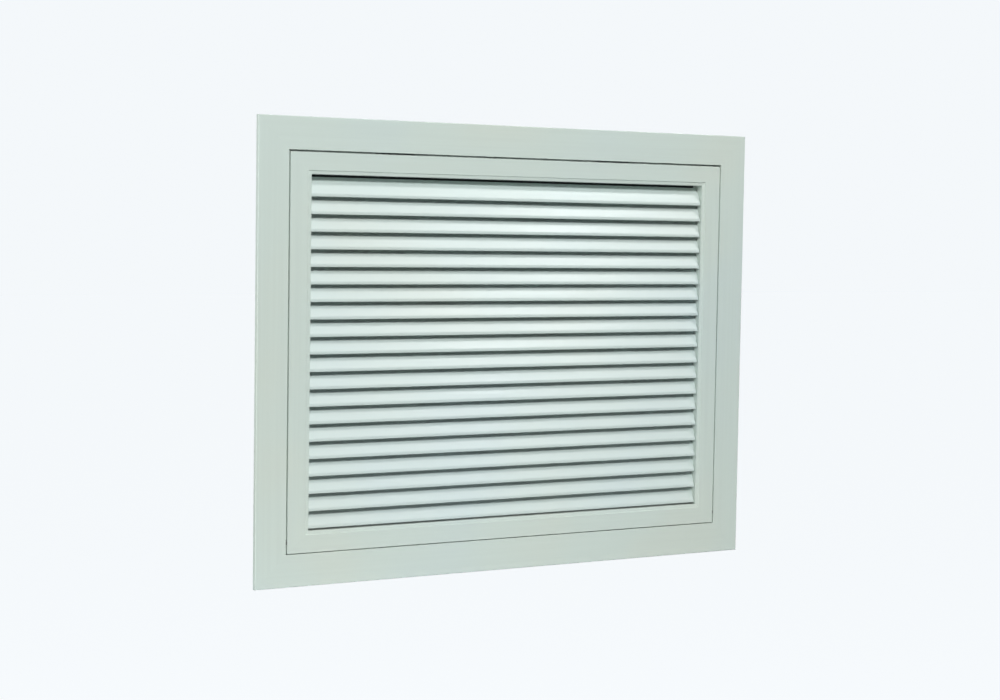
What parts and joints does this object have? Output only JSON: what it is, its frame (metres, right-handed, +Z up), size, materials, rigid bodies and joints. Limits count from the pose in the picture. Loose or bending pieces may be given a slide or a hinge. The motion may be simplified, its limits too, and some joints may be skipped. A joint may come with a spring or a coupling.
{
  "type": "air louver",
  "caption": "Rectangular return-air louver: a flanged outer frame with a neck, and a flush door of fixed sloping blades hinged along its lower edge.",
  "frame": {"origin": "centre of the neck, on the surface of the wall, where the flange's rim rests", "axes": "+X to the right across the face, +Y into the wall, +Z up"},
  "size_m": [0.672, 0.05, 0.532],
  "materials": {
    "coated_aluminium": "satin",
    "plain_aluminium": "satin",
    "zinc_steel": "satin",
    "stainless_steel": "satin",
    "nylon": "satin",
    "white_plastic": "satin",
    "ferrite": "matte"
  },
  "bodies": {
    "frame": {"outer_frame_top": "coated_aluminium", "outer_frame_right": "coated_aluminium", "outer_frame_bottom": "coated_aluminium", "outer_frame_left": "coated_aluminium", "outer_key_1": "zinc_steel", "outer_key_2": "zinc_steel", "outer_key_3": "zinc_steel", "outer_key_4": "zinc_steel", "hinge_pin_left": "stainless_steel", "catch_housing_left": "white_plastic", "catch_magnet_left": "ferrite", "catch_poles_left": "zinc_steel", "hinge_pin_right": "stainless_steel", "catch_housing_right": "white_plastic", "catch_magnet_right": "ferrite", "catch_poles_right": "zinc_steel"},
    "door": {"door_frame_top": "coated_aluminium", "door_frame_right": "coated_aluminium", "door_frame_bottom": "coated_aluminium", "door_frame_left": "coated_aluminium", "door_key_1": "plain_aluminium", "door_key_2": "plain_aluminium", "door_key_3": "plain_aluminium", "door_key_4": "plain_aluminium", "blade_01": "coated_aluminium", "blade_02": "coated_aluminium", "blade_03": "coated_aluminium", "blade_04": "coated_aluminium", "blade_05": "coated_aluminium", "blade_06": "coated_aluminium", "blade_07": "coated_aluminium", "blade_08": "coated_aluminium", "blade_09": "coated_aluminium", "blade_10": "coated_aluminium", "blade_11": "coated_aluminium", "blade_12": "coated_aluminium", "blade_13": "coated_aluminium", "blade_14": "coated_aluminium", "blade_15": "coated_aluminium", "blade_16": "coated_aluminium", "blade_17": "coated_aluminium", "blade_18": "coated_aluminium", "blade_19": "coated_aluminium", "blade_20": "coated_aluminium", "hinge_bush_left": "nylon", "strike_plate_left": "zinc_steel", "hinge_bush_right": "nylon", "strike_plate_right": "zinc_steel"}
  },
  "joints": [
    {"name": "door_hinge", "type": "hinge", "parent": "frame", "child": "door", "pos_m": [0, -0.0014, -0.2146], "axis": [1, 0, 0], "range_deg": [0, 140]}
  ]
}
